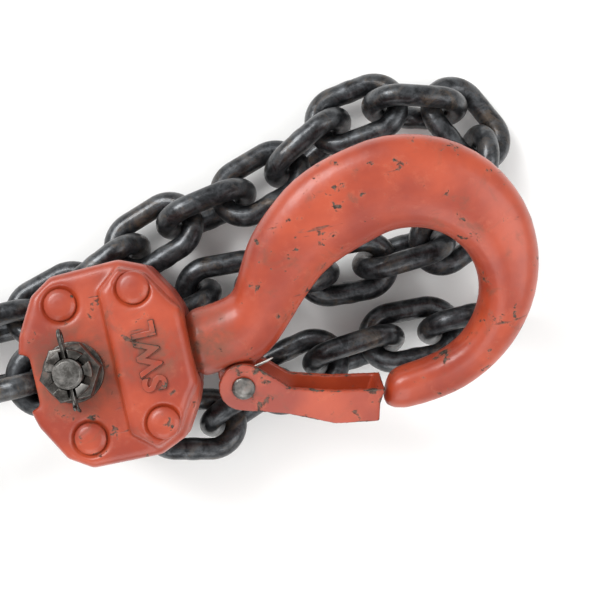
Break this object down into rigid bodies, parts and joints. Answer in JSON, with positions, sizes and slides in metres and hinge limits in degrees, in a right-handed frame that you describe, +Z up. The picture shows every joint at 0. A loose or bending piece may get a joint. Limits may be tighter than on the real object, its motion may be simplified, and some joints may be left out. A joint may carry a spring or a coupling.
{
  "type": "chain hoist hook block",
  "caption": "Lower hook block of a chain hoist: two clamped half shells, swivel hook with sprung safety latch, and its oily load chain lying in a heap under it.",
  "frame": {"origin": "centre of the footprint, on the surface that the chain heap lies on", "axes": "+X from the chain pin towards the hook, +Z up, along the chain pin"},
  "size_m": [0.2504, 0.1116, 0.0709],
  "materials": {
    "orange_paint": "worn gloss paint",
    "chain_steel": "blackened, oily",
    "oily_steel": "oily",
    "bright_steel": "bare metal"
  },
  "bodies": {
    "chain_heap": {"link_04": "chain_steel", "link_05": "chain_steel", "link_06": "chain_steel", "link_07": "chain_steel", "link_08": "chain_steel", "link_09": "chain_steel", "link_10": "chain_steel", "link_11": "chain_steel", "link_12": "chain_steel", "link_13": "chain_steel", "link_14": "chain_steel", "link_15": "chain_steel", "link_16": "chain_steel", "link_17": "chain_steel", "link_18": "chain_steel", "link_19": "chain_steel", "link_20": "chain_steel", "link_21": "chain_steel", "link_22": "chain_steel", "link_23": "chain_steel", "link_24": "chain_steel", "link_25": "chain_steel", "link_26": "chain_steel", "link_27": "chain_steel", "link_28": "chain_steel", "link_29": "chain_steel", "link_30": "chain_steel", "link_31": "chain_steel", "link_32": "chain_steel"},
    "strand_link_3": {"link_03": "chain_steel"},
    "strand_link_2": {"link_02": "chain_steel"},
    "strand_link_1": {"link_01": "chain_steel"},
    "block": {"front_half_shell": "orange_paint", "rear_half_shell": "orange_paint", "rivet_1": "orange_paint", "rivet_2": "orange_paint", "rivet_3": "orange_paint", "rivet_4": "orange_paint", "chain_pin": "oily_steel", "pin_washer": "oily_steel", "castle_nut": "oily_steel", "split_pin": "oily_steel", "thrust_washer": "bright_steel"},
    "hook": {"hook": "orange_paint", "collar_half_a": "oily_steel", "collar_half_b": "oily_steel", "latch_pin": "oily_steel", "latch_spring": "bright_steel"},
    "latch": {"latch": "orange_paint"},
    "end_link_2": {"link_33": "chain_steel"},
    "end_link_1": {"link_34": "chain_steel"}
  },
  "joints": [
    {"name": "strand_lift_3", "type": "hinge", "parent": "chain_heap", "child": "strand_link_3", "pos_m": [-0.08242, -0.02469, 0.03834], "axis": [0.3734, -0.9093, -0.1837], "range_deg": [0, 20]},
    {"name": "strand_lift_2", "type": "hinge", "parent": "strand_link_3", "child": "strand_link_2", "pos_m": [-0.05627, -0.01747, 0.0436], "axis": [0, -0.998, -0.0628], "range_deg": [0, 25]},
    {"name": "strand_lift_1", "type": "hinge", "parent": "strand_link_2", "child": "strand_link_1", "pos_m": [-0.04512, -0.01754, 0.04468], "axis": [0, -0.998, -0.0628], "range_deg": [0, 25]},
    {"name": "block_swing", "type": "hinge", "parent": "strand_link_1", "child": "block", "pos_m": [-0.02537, -0.01754, 0.04468], "axis": [0, 0, 1], "range_deg": [-15, 15]},
    {"name": "hook_swivel", "type": "hinge", "parent": "block", "child": "hook", "pos_m": [-0.02537, -0.01754, 0.04468], "axis": [1, 0, 0], "continuous": true, "deforming": ["link_13", "link_14", "link_15", "link_16", "link_17", "link_18", "link_19", "link_20", "link_21", "link_22", "link_23", "link_24", "link_25", "link_26", "link_29", "link_30", "link_31", "link_32", "link_33", "link_34"]},
    {"name": "latch_pivot", "type": "hinge", "parent": "hook", "child": "latch", "pos_m": [0.02243, -0.03161, 0.04011], "axis": [0, -0.309, 0.9511], "range_deg": [0, 40], "stiffness_Nm_per_rad": 0.05, "springref_deg": -20.05, "deforming": ["latch_spring"]},
    {"name": "end_swing_2", "type": "hinge", "parent": "chain_heap", "child": "end_link_2", "pos_m": [0.07264, -0.03073, 0.01248], "axis": [0.013, 0.3111, 0.9503], "range_deg": [-12, 12]},
    {"name": "end_swing_1", "type": "hinge", "parent": "end_link_2", "child": "end_link_1", "pos_m": [0.08382, -0.03123, 0.01249], "axis": [0.013, 0.3111, 0.9503], "range_deg": [-20, 20]}
  ]
}
